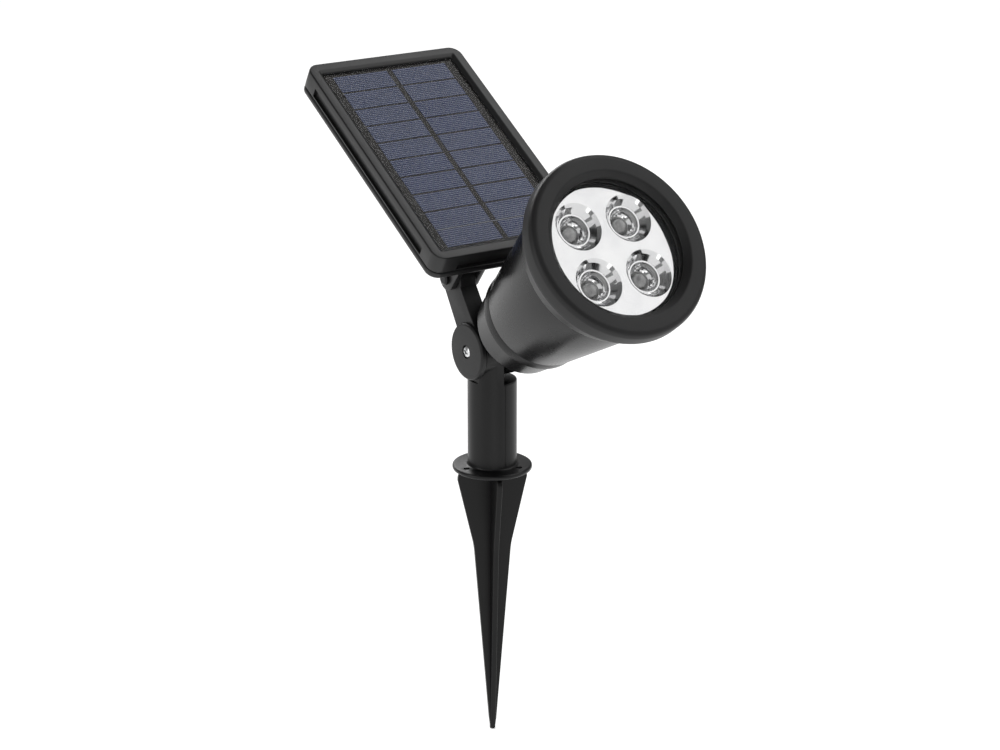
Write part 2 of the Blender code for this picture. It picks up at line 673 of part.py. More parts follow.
def build_panel_frame(body):
    """Front casing with the bevelled window, the deck under the laminate and the side grooves."""
    bottom = PANEL_SEAM + GAP
    frame = slab(rounded_rectangle(0.0, PANEL_CORNER), bottom, PANEL_FACE)
    place(frame, "panel_frame", body, BLACK_PANEL)
    inner = rounded_rectangle(PANEL_WALL, PANEL_CORNER - PANEL_WALL)
    cut(frame, tool(slab(inner, bottom - GAP, DECK_BOTTOM), body))
    pocket = rounded_rectangle(LAMINATE_INSET - GAP, 1.0 * MM)
    cut(frame, tool(slab(pocket, POCKET_FLOOR, PANEL_FACE + GAP), body))
    rim = rounded_rectangle(RIM_WIDTH, 1.5 * MM)
    cut(frame, tool(slab(rim, LAMINATE_TOP + 0.4 * MM, PANEL_FACE + GAP), body))
    left = PANEL_X - PANEL_WIDTH / 2
    right = PANEL_X + PANEL_WIDTH / 2
    low = PANEL_LOW_EDGE
    high = PANEL_LOW_EDGE + PANEL_LENGTH
    side = (low + GROOVE_END, high - GROOVE_END)
    across = (left + GROOVE_END, right - GROOVE_END)
    for x in (left, right):
        groove = box((x - GROOVE_DEPTH, side[0], GROOVE_LOW), (x + GROOVE_DEPTH, side[1], GROOVE_HIGH))
        cut(frame, tool(groove, body))
    for y in (low, high):
        groove = box((across[0], y - GROOVE_DEPTH, GROOVE_LOW), (across[1], y + GROOVE_DEPTH, GROOVE_HIGH))
        cut(frame, tool(groove, body))
    for number, (x, y) in enumerate(case_screw_places(), start=1):
        join(frame, tool(disc(3.4 * MM, bottom, DECK_BOTTOM + 0.7 * MM, 16, (x, y)), body))
        cut(frame, tool(disc(1.5 * MM, bottom - GAP, DECK_BOTTOM - 0.2 * MM, 12, (x, y)), body))
        screw = machine_screw(1.2 * MM, 2.8 * MM, 6.6 * MM, 1.3 * MM, 12)
        place(screw, f"case_screw_{number}", body, STEEL)
        screw.location = (x, y, PANEL_BACK + 1.6 * MM - GAP)
    cut(frame, tool(disc(WIRE_HOLE_RADIUS, 24.0 * MM, 28.0 * MM, 16, (PANEL_X, WIRE_HOLE_Y)), body))


def build_panel_inside(body):
    """Cell laminate, its clear face and the small board behind it."""
    outline = rounded_rectangle(LAMINATE_INSET, 0.8 * MM)
    split = LAMINATE_TOP - 0.9 * MM
    cells = slab(outline, POCKET_FLOOR + 0.2 * MM, split - 0.2 * MM)
    place(cells, "solar_cells", body, CELLS)
    place(slab(outline, split, LAMINATE_TOP), "clear_face", body, CLEAR)
    board = box((12.0 * MM, 22.0 * MM, 19.1 * MM), (36.0 * MM, 38.0 * MM, 20.7 * MM))
    place(board, "panel_board", body, GREEN_BOARD)


def build_panel_hinge(body):
    """Screw and nut of the panel's own hinge."""
    left = BAR_LEFT - EAR_PLATE - 2 * GAP
    right = BAR_RIGHT + EAR_PLATE + 2 * GAP
    screw = machine_screw(HINGE_SCREW_RADIUS, 3.2 * MM, right - left + 3.0 * MM, 1.8 * MM, 16)
    place(along_x(screw), "hinge_screw", body, STEEL).location[0] = left
    nut = hex_nut(3.4 * MM, HINGE_BORE_RADIUS, right, right + 2.6 * MM, body)
    place(nut, "hinge_nut", body, STEEL)


clear_scene()
PRODUCT = new_collection("solar_garden_light")
CUTTERS = new_collection("cutters")

BLACK_SPIKE = look("black_spike", (0.010, 0.010, 0.010), 0.42)
BLACK_POST = look("black_post", (0.014, 0.014, 0.015), 0.38)
BLACK_ARM = look("black_arm", (0.022, 0.022, 0.023), 0.45)
BLACK_LAMP = look("black_lamp", (0.014, 0.014, 0.015), 0.36)
BLACK_BEZEL = look("black_bezel", (0.026, 0.026, 0.027), 0.48)
BLACK_PANEL = look("black_panel", (0.018, 0.018, 0.019), 0.40)
RUBBER = look("rubber", (0.020, 0.020, 0.020), 0.75)
STEEL = look("plated_steel", (0.72, 0.73, 0.74), 0.25, metallic=1.0)
MIRROR = look("bright_plating", (0.90, 0.90, 0.91), 0.10, metallic=1.0)
CLEAR = look("clear_plastic", (0.95, 0.96, 0.96), 0.04, transmission=1.0)
LED_DOME = look("led_dome", (0.55, 0.55, 0.54), 0.15)
WHITE_BOARD = look("white_board", (0.75, 0.75, 0.73), 0.50)
GREEN_BOARD = look("green_board", (0.05, 0.18, 0.08), 0.45)
BATTERY_WRAP = look("battery_wrap", (0.08, 0.16, 0.35), 0.40)
HOLDER = look("holder_plastic", (0.08, 0.08, 0.08), 0.55)
COIL = look("coil", (0.10, 0.09, 0.08), 0.60)
CELLS = look("cells", (0.045, 0.060, 0.120), 0.30)

post_body = empty("post_axis", (0.0, 0.0, 0.0), 0.0)
lamp_body = empty("lamp_axis", (LAMP_X, 0.0, PIVOT_Z), 90.0 - LAMP_ELEVATION)
button_body = empty("button_axis", (*BUTTON_PLACE, 0.0), 0.0, lamp_body)
arm_body = empty("arm_axis", (0.0, 0.0, PIVOT_Z), 0.0)
panel_body = empty("panel_axis", (0.0, PANEL_HINGE_Y, PANEL_HINGE_Z), PANEL_SLOPE)

build_spike(None)
build_post(post_body)
build_pivot(post_body, lamp_body)
build_arm(arm_body)
build_housing(lamp_body)
build_bezel(lamp_body)
build_reflector(lamp_body)
build_leds(lamp_body)
build_cap(lamp_body)
build_lamp_inside(lamp_body)
build_button(button_body)
build_panel_back(panel_body)
build_panel_frame(panel_body)
build_panel_inside(panel_body)
build_panel_hinge(panel_body)

for part in PRODUCT.objects:
    if part.type == "MESH":
        smooth(part)
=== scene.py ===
"""Looks of the solar garden spotlight: fine mouldings, solar cells, plated reflector and LEDs.

Every piece sits on the CAD frame: the lamp's and the panel's own axes come from the joints.
"""

import json
import math

import bmesh
import bpy
from mathutils import Matrix, Vector


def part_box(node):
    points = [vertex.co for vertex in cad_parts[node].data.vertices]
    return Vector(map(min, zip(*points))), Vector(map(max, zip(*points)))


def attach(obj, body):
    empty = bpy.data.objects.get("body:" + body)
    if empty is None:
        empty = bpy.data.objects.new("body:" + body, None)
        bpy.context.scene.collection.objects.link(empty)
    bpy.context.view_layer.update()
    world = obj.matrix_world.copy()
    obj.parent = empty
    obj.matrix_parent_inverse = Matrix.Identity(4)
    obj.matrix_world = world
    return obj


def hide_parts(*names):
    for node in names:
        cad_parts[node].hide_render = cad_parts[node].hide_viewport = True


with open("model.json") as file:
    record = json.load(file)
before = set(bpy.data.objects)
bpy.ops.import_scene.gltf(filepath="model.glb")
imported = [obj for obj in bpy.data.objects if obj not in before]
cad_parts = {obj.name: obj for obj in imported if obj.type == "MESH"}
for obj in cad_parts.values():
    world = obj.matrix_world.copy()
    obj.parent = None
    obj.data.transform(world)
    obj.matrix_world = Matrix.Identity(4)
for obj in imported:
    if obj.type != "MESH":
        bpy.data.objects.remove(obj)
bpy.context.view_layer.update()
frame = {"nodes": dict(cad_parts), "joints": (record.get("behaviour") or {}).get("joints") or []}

MM = 0.001
JOINTS = {joint["name"]: joint for joint in frame["joints"]}
PIVOT = Vector(JOINTS["lamp_tilt"]["pos_m"])
PIVOT_Z = PIVOT.z
LAMP_AXIS = Vector(JOINTS["switch_press"]["axis"]).normalized()
LAMP_TILT = math.pi / 2 - math.asin(LAMP_AXIS.z)
PANEL_HINGE = Vector(JOINTS["panel_tilt"]["pos_m"])
PANEL_SLOPE = math.radians(30.0)

LAMP = Matrix.Translation(PIVOT) @ Matrix.Rotation(LAMP_TILT, 4, "X")
PANEL_ORIGIN = Matrix.Translation((0.0, PANEL_HINGE.y, PANEL_HINGE.z))
PANEL = PANEL_ORIGIN @ Matrix.Rotation(PANEL_SLOPE, 4, "X")
WORLD = Matrix.Identity(4)

# Post and spike.
POST_RADIUS = 12.0 * MM
POST_TOP = 46.2 * MM
SOCKET_RADIUS = 9.5 * MM
SOCKET_TOP = 30.0 * MM
FLANGE_RADIUS = 19.5 * MM
FLANGE_THICKNESS = 2.3 * MM
FLANGE_HOLE_RADIUS = 1.6 * MM
FLANGE_HOLE_CIRCLE = 14.8 * MM
SPIKE_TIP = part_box("ground_spike")[0][2]
SPIKE_TURN = math.radians(-20.0)

# Pivot and arm.
BARREL_RADIUS = 12.5 * MM
BARREL_LEFT = -10.9 * MM
BARREL_RIGHT = -0.9 * MM
BORE_RADIUS = 2.3 * MM
DISC_RADIUS = 14.0 * MM
DISC_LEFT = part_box("panel_arm")[0][0]
DISC_RIGHT = DISC_LEFT + 2.9 * MM
BAR_LEFT = -12.9 * MM
BAR_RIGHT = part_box("panel_arm")[1][0]
EYE_RADIUS = 7.5 * MM

# Lamp, along its own axis from the pivot.
LAMP_FRONT = 122.2 * MM
BEZEL_RADIUS = 45.0 * MM
BEZEL_REAR = 100.9 * MM
LENS_RADIUS = 36.0 * MM
CAP_REAR = 16.2 * MM
HOUSING_REAR = 41.3 * MM
PLATE_FRONT = 115.2 * MM
CUP_OFFSET = 13.7 * MM
CUP_RADIUS = 11.8 * MM
BOARD_FRONT = 103.7 * MM
LED_RADIUS = 3.4 * MM

# Panel, in the frame of its hinge.
PANEL_WIDTH = 88.0 * MM
PANEL_LENGTH = 141.0 * MM
PANEL_X = PIVOT.x
PANEL_LOW = -14.5 * MM
PANEL_HIGH = PANEL_LOW + PANEL_LENGTH
PANEL_BACK = 16.8 * MM
PANEL_SEAM = 20.3 * MM
PANEL_FACE = 30.3 * MM
PANEL_CORNER = 6.0 * MM
LAMINATE_TOP = 29.0 * MM
CELL_ROWS = 10

SMOOTH = 128


# ---------------------------------------------------------------- materials


def new_material(name):
    """A node material and its Principled BSDF."""
    material = bpy.data.materials.new(name)
    material.use_nodes = True
    return material, material.node_tree, material.node_tree.nodes["Principled BSDF"]


def add_noise(tree, scale, detail=3.0):
    """A noise texture in the piece's own coordinates; returns its value."""
    place = tree.nodes.new("ShaderNodeTexCoord")
    noise = tree.nodes.new("ShaderNodeTexNoise")
    noise.inputs["Scale"].default_value = scale
    noise.inputs["Detail"].default_value = detail
    tree.links.new(place.outputs["Object"], noise.inputs["Vector"])
    return noise.outputs["Fac"]


def ramp(tree, value, low, high, start=0.3, end=0.7):
    """Maps a 0 to 1 value onto two colours."""
    node = tree.nodes.new("ShaderNodeValToRGB")
    node.color_ramp.elements[0].position = start
    node.color_ramp.elements[1].position = end
    node.color_ramp.elements[0].color = (*low, 1.0)
    node.color_ramp.elements[1].color = (*high, 1.0)
    tree.links.new(value, node.inputs["Fac"])
    return node.outputs["Color"]


def spread(tree, value, low, high):
    """Maps a 0.3 to 0.7 value onto two numbers."""
    node = tree.nodes.new("ShaderNodeMapRange")
    node.inputs["From Min"].default_value = 0.3
    node.inputs["From Max"].default_value = 0.7
    node.inputs["To Min"].default_value = low
    node.inputs["To Max"].default_value = high
    tree.links.new(value, node.inputs["Value"])
    return node.outputs["Result"]


def add_bump(tree, shader, value, strength, distance):
    """A bump from a height value."""
    bump = tree.nodes.new("ShaderNodeBump")
    bump.inputs["Strength"].default_value = strength
    bump.inputs["Distance"].default_value = distance
    tree.links.new(value, bump.inputs["Height"])
    tree.links.new(bump.outputs["Normal"], shader.inputs["Normal"])


def moulded(name, colour, roughness, grain=0.12, gloss=0.4):
    """Moulded black plastic: fine spark-eroded grain, faint flow marks and an uneven sheen."""
    material, tree, shader = new_material(name)
    flow = add_noise(tree, 26.0, 4.0)
    darker = tuple(0.82 * part for part in colour)
    lighter = tuple(1.22 * part for part in colour)
    tree.links.new(ramp(tree, flow, darker, lighter), shader.inputs["Base Color"])
    sheen = spread(tree, add_noise(tree, 60.0, 4.0), roughness - 0.015, roughness + 0.02)
    tree.links.new(sheen, shader.inputs["Roughness"])
    add_bump(tree, shader, add_noise(tree, 2600.0, 2.0), grain, 0.00006)
    shader.inputs["Specular IOR Level"].default_value = gloss
    return material


def rubber():
    """Matte black rubber with a faint mottling."""
    material, tree, shader = new_material("black_rubber")
    tone = ramp(tree, add_noise(tree, 300.0), (0.016, 0.016, 0.016), (0.030, 0.030, 0.030))
    tree.links.new(tone, shader.inputs["Base Color"])
    tree.links.new(spread(tree, add_noise(tree, 900.0), 0.62, 0.80), shader.inputs["Roughness"])
    add_bump(tree, shader, add_noise(tree, 3500.0, 2.0), 0.25, 0.00008)
    return material


def plated(name, low, high, smoothness, grain):
    """Plated or polished metal with slight waviness."""
    material, tree, shader = new_material(name)
    shader.inputs["Metallic"].default_value = 1.0
    tree.links.new(ramp(tree, add_noise(tree, 90.0), low, high), shader.inputs["Base Color"])
    tree.links.new(spread(tree, add_noise(tree, 220.0), *smoothness), shader.inputs["Roughness"])
    add_bump(tree, shader, add_noise(tree, 420.0, 2.0), grain, 0.0001)
    return material


def clear(name, alpha, roughness):
    """Clear plastic as a thin glossy film over what is behind it."""
    material, tree, shader = new_material(name)
    tone = ramp(tree, add_noise(tree, 60.0), (0.020, 0.022, 0.022), (0.045, 0.048, 0.048))
    tree.links.new(tone, shader.inputs["Base Color"])
    smear = spread(tree, add_noise(tree, 40.0, 4.0), roughness, roughness + 0.03)
    tree.links.new(smear, shader.inputs["Roughness"])
    shader.inputs["Alpha"].default_value = alpha
    shader.inputs["IOR"].default_value = 1.49
    return material


def led_dome():
    """Clear resin dome with the grey chip and lead frame showing through it."""
    material, tree, shader = new_material("led_resin")
    tone = ramp(tree, add_noise(tree, 260.0, 2.0), (0.40, 0.40, 0.40), (0.72, 0.72, 0.71))
    tree.links.new(tone, shader.inputs["Base Color"])
    tree.links.new(spread(tree, add_noise(tree, 200.0), 0.08, 0.18), shader.inputs["Roughness"])
    shader.inputs["Coat Weight"].default_value = 0.8
    shader.inputs["Coat Roughness"].default_value = 0.05
    return material


def laminate():
    """Dark backing sheet that shows around and between the cells."""
    material, tree, shader = new_material("cell_backing")
    tone = ramp(tree, add_noise(tree, 60.0, 4.0), (0.010, 0.009, 0.008), (0.018, 0.015, 0.013))
    tree.links.new(tone, shader.inputs["Base Color"])
    tree.links.new(spread(tree, add_noise(tree, 300.0), 0.30, 0.45), shader.inputs["Roughness"])
    shader.inputs["Specular IOR Level"].default_value = 0.2
    return material


def cell_silicon(name, low, high):
    """Blue-grey polycrystalline silicon with crystal patches."""
    material, tree, shader = new_material(name)
    place = tree.nodes.new("ShaderNodeTexCoord")
    crystals = tree.nodes.new("ShaderNodeTexVoronoi")
    crystals.inputs["Scale"].default_value = 150.0
    tree.links.new(place.outputs["Object"], crystals.inputs["Vector"])
    tone = ramp(tree, crystals.outputs["Distance"], low, high, 0.0, 0.9)
    tree.links.new(tone, shader.inputs["Base Color"])
    tree.links.new(spread(tree, add_noise(tree, 500.0), 0.24, 0.36), shader.inputs["Roughness"])
    shader.inputs["Specular IOR Level"].default_value = 0.2
    return material


def silver_print(name, low, high):
    """Fine screen-printed silver on the cells."""
    material, tree, shader = new_material(name)
    tone = ramp(tree, add_noise(tree, 700.0), low, high)
    tree.links.new(tone, shader.inputs["Base Color"])
    tree.links.new(spread(tree, add_noise(tree, 900.0), 0.35, 0.50), shader.inputs["Roughness"])
    shader.inputs["Metallic"].default_value = 0.4
    return material


def painted_board(name, low, high):
    """Solder mask with a slight mottling."""
    material, tree, shader = new_material(name)
    tree.links.new(ramp(tree, add_noise(tree, 400.0), low, high), shader.inputs["Base Color"])
    tree.links.new(spread(tree, add_noise(tree, 700.0), 0.35, 0.5), shader.inputs["Roughness"])
    return material


SPIKE_BLACK = moulded("spike_plastic", (0.0032, 0.0032, 0.0032), 0.38, gloss=0.24)
POST_BLACK = moulded("post_plastic", (0.0042, 0.0042, 0.0044), 0.34, gloss=0.28)
ARM_BLACK = moulded("arm_plastic", (0.0085, 0.0085, 0.0088), 0.46, 0.25, gloss=0.34)
LAMP_BLACK = moulded("lamp_plastic", (0.0036, 0.0036, 0.0038), 0.27, 0.04, gloss=0.20)
BEZEL_BLACK = moulded("bezel_plastic", (0.0110, 0.0110, 0.0113), 0.46, 0.2, gloss=0.32)
PANEL_BLACK = moulded("panel_plastic", (0.0110, 0.0110, 0.0113), 0.36, gloss=0.46)
RUBBER = rubber()
BLACK_ZINC = plated("black_zinc", (0.020, 0.020, 0.021), (0.045, 0.045, 0.046), (0.30, 0.42), 0.10)
STEEL = plated("zinc_steel", (0.60, 0.61, 0.62), (0.80, 0.80, 0.80), (0.18, 0.30), 0.10)
BRIGHT = plated("bright_plating", (0.86, 0.86, 0.87), (0.94, 0.94, 0.94), (0.05, 0.10), 0.04)
LENS_CLEAR = clear("lens_clear", 0.10, 0.02)
FACE_CLEAR = clear("face_clear", 0.07, 0.06)
LED = led_dome()
BACKING = laminate()
CELL_LIGHT = cell_silicon("cell_light", (0.022, 0.029, 0.072), (0.034, 0.044, 0.102))
CELL_DARK = cell_silicon("cell_dark", (0.011, 0.018, 0.062), (0.020, 0.030, 0.094))
SILVER = silver_print("silver_fingers", (0.13, 0.16, 0.27), (0.22, 0.26, 0.40))
LINK = silver_print("silver_link", (0.22, 0.25, 0.33), (0.36, 0.39, 0.46))
WHITE_BOARD = painted_board("white_board", (0.66, 0.66, 0.64), (0.78, 0.78, 0.76))
GREEN_BOARD = painted_board("green_board", (0.02, 0.12, 0.05), (0.04, 0.20, 0.08))
WRAP = painted_board("battery_wrap", (0.05, 0.12, 0.28), (0.09, 0.18, 0.38))


# ---------------------------------------------------------------- shapes


def fresh(name, mesh):
    """A new object in the scene."""
    item = bpy.data.objects.new(name, mesh)
    bpy.context.scene.collection.objects.link(item)
    return item


def baked(item):
    """Turns an object's modifiers or curve into its plain mesh."""
    bpy.context.view_layer.update()
    graph = bpy.context.evaluated_depsgraph_get()
    mesh = bpy.data.meshes.new_from_object(item.evaluated_get(graph))
    name = item.name
    bpy.data.objects.remove(item, do_unlink=True)
    return fresh(name, mesh)


def fillet(points, radius, steps=4, closed=True):
    """Rounds each corner of a polyline by a radius, less where the sides are short."""
    count = len(points)
    result = []
    for index, point in enumerate(points):
        if not closed and index in (0, count - 1):
            result.append(point)
            continue
        here = Vector(point)
        before = Vector(points[index - 1]) - here
        after = Vector(points[(index + 1) % count]) - here
        reach = min(radius, 0.45 * before.length, 0.45 * after.length)
        start = here + before.normalized() * reach
        end = here + after.normalized() * reach
        for step in range(steps + 1):
            part = step / steps
            blend = start * (1 - part) ** 2 + here * 2 * part * (1 - part) + end * part ** 2
            result.append(tuple(blend))
    return result


def turned(name, profile, radius=0.0004, segments=SMOOTH, at=(0.0, 0.0)):
    """Turns (radius, height) points about Z; a profile that starts off the axis is a ring."""
    closed = profile[0][0] > 0.0
    rounded = fillet(profile, radius, closed=closed) if radius else profile
    mesh = bpy.data.meshes.new(name)
    edges = [(index, index + 1) for index in range(len(rounded) - 1)]
    if closed:
        edges.append((len(rounded) - 1, 0))
    mesh.from_pydata([(x, 0.0, z) for x, z in rounded], edges, [])
    item = fresh(name, mesh)
    turn = item.modifiers.new("turn", "SCREW")
    turn.steps = segments
    turn.render_steps = segments
    turn.use_merge_vertices = True
    turn.merge_threshold = 0.000001
    item = baked(item)
    item.data.transform(Matrix.Translation((at[0], at[1], 0.0)))
    return item


def disc(name, radius, low, high, edge=0.0003, segments=SMOOTH, at=(0.0, 0.0)):
    """An upright cylinder with softened edges."""
    profile = [(0.0, high), (radius, high), (radius, low), (0.0, low)]
    return turned(name, profile, edge, segments, at)


def along_x(item, y=0.0, z=0.0):
    """Lays an upright piece down along +X."""
    item.data.transform(Matrix.Translation((0.0, y, z)) @ Matrix.Rotation(math.pi / 2, 4, "Y"))
    return item


def arc(centre, radius, start, end, steps):
    """Points of an arc, angles in degrees."""
    points = []
    for step in range(steps + 1):
        angle = math.radians(start + (end - start) * step / steps)
        points.append((centre[0] + radius * math.cos(angle), centre[1] + radius * math.sin(angle)))
    return points


def slab(name, points, low, high, edge=0.0):
    """A flat outline in XY, extruded between two heights, with rounded rims."""
    curve = bpy.data.curves.new(name, "CURVE")
    curve.dimensions = "2D"
    curve.fill_mode = "BOTH"
    curve.extrude = (high - low) / 2 / MM
    spline = curve.splines.new("POLY")
    spline.points.add(len(points) - 1)
    for point, (x, y) in zip(spline.points, points):
        point.co = (x / MM, y / MM, 0.0, 1.0)
    spline.use_cyclic_u = True
    item = baked(fresh(name, curve))
    weld(item.data, 0.002)
    if edge:
        ease = item.modifiers.new("ease", "BEVEL")
        ease.width = edge / MM
        ease.segments = 3
        ease.limit_method = "ANGLE"
        ease.angle_limit = math.radians(50)
        ease.use_clamp_overlap = False
        item = baked(item)
    item.data.transform(Matrix.Scale(MM, 4))
    item.data.transform(Matrix.Translation((0.0, 0.0, (low + high) / 2)))
    return item


def weld(mesh, reach):
    """Welds touching corners and points every face outwards."""
    work = bmesh.new()
    work.from_mesh(mesh)
    bmesh.ops.remove_doubles(work, verts=work.verts, dist=reach)
    bmesh.ops.dissolve_degenerate(work, edges=work.edges, dist=reach)
    bmesh.ops.recalc_face_normals(work, faces=work.faces)
    work.to_mesh(mesh)
    work.free()


def side_slab(name, points, low, high, edge=0.0):
    """An outline given as (y, z), extruded between two X values."""
    item = slab(name, points, low, high, edge)
    turn = Matrix.Rotation(math.pi / 2, 4, "Z") @ Matrix.Rotation(math.pi / 2, 4, "X")
    item.data.transform(turn)
    return item


def block(name, low, high):
    """A plain box, used only to cut."""
    mesh = bpy.data.meshes.new(name)
    work = bmesh.new()
    bmesh.ops.create_cube(work, size=1.0)
    size = Vector(high) - Vector(low)
    bmesh.ops.scale(work, verts=work.verts, vec=size)
    bmesh.ops.translate(work, verts=work.verts, vec=(Vector(low) + Vector(high)) / 2)
    work.to_mesh(mesh)
    work.free()
    return fresh(name, mesh)


def combine(item, others, operation):
    """Joins or cuts an object with others, which are used up, in millimetres for precision."""
    for solid in (item, *others):
        solid.data.transform(Matrix.Scale(1 / MM, 4))
    for other in others:
        change = item.modifiers.new("combine", "BOOLEAN")
        change.operation = operation
        change.solver = "EXACT"
        change.object = other
    item = baked(item)
    for other in others:
        bpy.data.objects.remove(other, do_unlink=True)
    weld(item.data, 0.002)
    item.data.transform(Matrix.Scale(MM, 4))
    return item


def cut(item, *others):
    """Takes the others out of an object."""
    return combine(item, others, "DIFFERENCE")


def join(item, *others):
    """Adds the others to an object."""
    return combine(item, others, "UNION")


def outline(inset):
    """The panel's outline, drawn in by an inset."""
    corner = max(PANEL_CORNER - inset, 0.8 * MM)
    half = PANEL_WIDTH / 2 - inset - corner
    low = PANEL_LOW + inset + corner
    high = PANEL_HIGH - inset - corner
    places = ((half, high), (-half, high), (-half, low), (half, low))
    points = []
    for quarter, (x, y) in enumerate(places):
        points += arc((PANEL_X + x, y), corner, 90 * quarter, 90 * quarter + 90, 10)
    return points


def swept(name, section, closed):
    """Sweeps an (inset, height) section round the panel; an open section is capped at both ends."""
    work = bmesh.new()
    rings = []
    for inset, height in section:
        rings.append([work.verts.new((x, y, height)) for x, y in outline(inset)])
    size = len(rings[0])
    pairs = list(zip(rings, rings[1:]))
    if closed:
        pairs.append((rings[-1], rings[0]))
    for lower, upper in pairs:
        for index in range(size):
            after = (index + 1) % size
            work.faces.new((lower[index], lower[after], upper[after], upper[index]))
    if not closed:
        work.faces.new(rings[0])
        work.faces.new(rings[-1])
    bmesh.ops.recalc_face_normals(work, faces=work.faces)
    mesh = bpy.data.meshes.new(name)
    work.to_mesh(mesh)
    work.free()
    return fresh(name, mesh)


def finish_piece(item, name, material, body, place=WORLD, nodes=(), sharp=32.0):
    """Names a piece, shades it, puts it in its frame and hands it to its body."""
    item.name = name
    item.data.name = name
    item.data.materials.clear()
    item.data.materials.append(material)
    item.data.shade_smooth()
    item.data.set_sharp_from_angle(angle=math.radians(sharp))
    item.data.transform(place)
    if nodes:
        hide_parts(*nodes)
    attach(item, body)
    return item


# ---------------------------------------------------------------- spike and post


def make_spike():
    """Cross of four fins with softened edges, a small tip and the plug."""
    top = -0.5 * MM
    corner = 4.0 * MM
    top_half = 17.3 * MM
    half = arc((top_half - corner, top - corner), corner, 90.0, 0.0, 10)
    taper = [(top_half, top - 5 * MM), (9.3 * MM, -40.3 * MM), (1.8 * MM, SPIKE_TIP + 6 * MM)]
    half += fillet(taper, 3 * MM, 6, False)
    half += arc((0.0, SPIKE_TIP + 1.2 * MM), 1.2 * MM, -20.0, -90.0, 6)
    mirrored = [(-y, z) for y, z in reversed(half[:-1])]
    thick = 1.3 * MM
    blade = side_slab("spike_blade", half + mirrored, -thick, thick, 0.45 * MM)
    crossing = side_slab("spike_crossing", half + mirrored, -thick, thick, 0.45 * MM)
    blade.data.transform(Matrix.Rotation(SPIKE_TURN, 4, "Z"))
    crossing.data.transform(Matrix.Rotation(SPIKE_TURN + math.pi / 2, 4, "Z"))
    plug = disc("spike_plug", SOCKET_RADIUS - 0.3 * MM, -3.0 * MM, SOCKET_TOP - MM, 0.0, 64)
    fins = join(blade, crossing)
    finish_piece(fins, "spike_fins", SPIKE_BLACK, "spike", nodes=("ground_spike",))
    finish_piece(plug, "spike_plug", SPIKE_BLACK, "spike")


def make_post():
    """Flange, tube and half knuckle, with the mould's parting line."""
    post = turned("post", [
        (0.0, POST_TOP),
        (POST_RADIUS, POST_TOP),
        (POST_RADIUS, FLANGE_THICKNESS),
        (FLANGE_RADIUS, FLANGE_THICKNESS),
        (FLANGE_RADIUS, 0.0),
        (SOCKET_RADIUS, 0.0),
        (SOCKET_RADIUS, SOCKET_TOP),
        (0.0, SOCKET_TOP),
    ], 1.1 * MM)
    neck = disc("neck", POST_RADIUS - 0.06 * MM, POST_TOP - 8 * MM, PIVOT_Z, 0.0)
    open_side = block("open_side", (BARREL_RIGHT, -0.02, POST_TOP - 12 * MM), (0.03, 0.02, 0.1))
    beyond = block("beyond", (-0.03, -0.02, POST_TOP), (BARREL_LEFT, 0.02, 0.1))
    neck = cut(neck, open_side, beyond)
    barrel = along_x(disc("barrel", BARREL_RADIUS, BARREL_LEFT, BARREL_RIGHT, 0.5 * MM), z=PIVOT_Z)
    post = join(post, neck, barrel)
    tools = [along_x(disc("bore", BORE_RADIUS, -0.02, 0.02, 0.0, 32), z=PIVOT_Z)]
    for turn in range(3):
        angle = math.radians(60 + 120 * turn)
        at = (FLANGE_HOLE_CIRCLE * math.cos(angle), FLANGE_HOLE_CIRCLE * math.sin(angle))
        tools.append(disc("hole", FLANGE_HOLE_RADIUS, -0.002, 0.006, 0.0, 32, at))
    seam_depth = 0.18 * MM
    seam_half = 0.14 * MM
    outer = POST_RADIUS - seam_depth
    for side in (-1, 1):
        edges = sorted((side * outer, side * 0.02))
        low = (-seam_half, edges[0], 3.6 * MM)
        tools.append(block("seam", low, (seam_half, edges[1], POST_TOP + MM)))
    post = cut(post, *tools)
    finish_piece(post, "post_body", POST_BLACK, "post", nodes=("post_tube",))


def make_pivot_screw():
    """Pan-head cross-recess screw in the middle of the arm's disc."""
    seat = DISC_LEFT + 1.5 * MM
    head = 2.9 * MM
    shank = 2.0 * MM
    height = 1.9 * MM
    length = 25.4 * MM
    profile = [(0.0, length), (shank, length), (shank, 0.0), (head, 0.0)]
    for degrees in (90, 75, 60, 45, 30, 15):
        angle = math.radians(degrees)
        profile.append((head * math.sin(angle), -height * (0.35 + 0.65 * math.cos(angle))))
    profile.append((0.0, -height))
    screw = turned("screw", profile, 0.08 * MM, 48)
    tools = []
    for turn in (25.0, 115.0):
        slot = block("cross", (-1.75 * MM, -0.42 * MM, -3 * MM), (1.75 * MM, 0.42 * MM, -0.75 * MM))
        slot.data.transform(Matrix.Rotation(math.radians(turn), 4, "Z"))
        tools.append(slot)
    screw = cut(screw, *tools)
    along_x(screw, z=PIVOT_Z)
    screw.data.transform(Matrix.Translation((seat, 0.0, 0.0)))
    finish_piece(screw, "pivot_screw_fine", STEEL, "post", nodes=("pivot_screw",))


